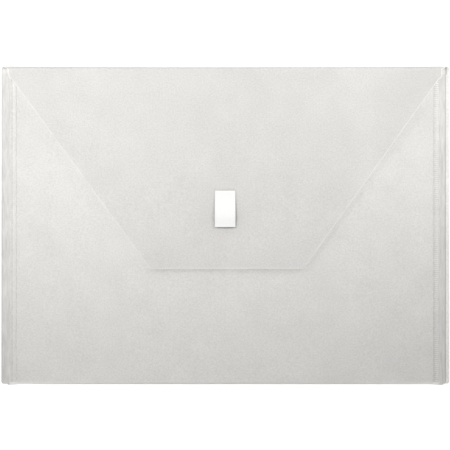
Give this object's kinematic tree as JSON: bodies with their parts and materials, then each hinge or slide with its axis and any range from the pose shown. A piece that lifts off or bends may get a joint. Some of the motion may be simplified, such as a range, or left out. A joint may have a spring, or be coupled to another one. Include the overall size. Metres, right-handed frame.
{
  "type": "portfolio case",
  "caption": "Flat frosted plastic envelope portfolio for large sheets, with a tapered fold-over flap, ribbed side welds and a white hook-and-loop strap.",
  "frame": {"origin": "under the middle of the case, on the back panel's outer face, which is what the case lies on", "axes": "+X along the width, +Y towards the edge where the flap folds over, +Z out of the front, towards the flap and its pull tab"},
  "size_m": [0.466, 0.33, 0.0141],
  "materials": {
    "frosted_sheet": "frosted, fine sand grain, translucent",
    "weld": "fused and finely ribbed",
    "woven_strap": "close plain weave",
    "hook_and_loop": "hooks and looped pile",
    "adhesive": "clear film"
  },
  "bodies": {
    "pocket": {"back_panel": "frosted_sheet", "bottom_fold": "frosted_sheet", "front_panel": "frosted_sheet", "left_weld": "weld", "right_weld": "weld", "fold_band_back": "frosted_sheet", "loop_adhesive": "adhesive", "loop_web": "hook_and_loop", "loop_pile": "hook_and_loop"},
    "spine": {"fold_band_middle": "frosted_sheet"},
    "flap": {"fold_band_flap": "frosted_sheet", "flap_sheet": "frosted_sheet", "strap_adhesive": "adhesive", "hook_strap": "woven_strap", "hook_field": "hook_and_loop"},
    "pull_tab": {"pull_tab": "woven_strap"}
  },
  "joints": [
    {"name": "spine_roll", "type": "hinge", "parent": "pocket", "child": "spine", "pos_m": [0, 0.16317, 0.00183], "axis": [-1, 0, 0], "range_deg": [0, 89.5]},
    {"name": "flap_fold", "type": "hinge", "parent": "spine", "child": "flap", "pos_m": [0, 0.16317, 0.00947], "axis": [-1, 0, 0], "range_deg": [0, 89.5]},
    {"name": "pull_tab_lift", "type": "hinge", "parent": "flap", "child": "pull_tab", "pos_m": [0, 0.03573, 0.01171], "axis": [-1, 0, 0], "range_deg": [0, 100]}
  ],
  "couplings": [
    {"joint": "spine_roll", "follows": "flap_fold", "ratio": 1}
  ]
}
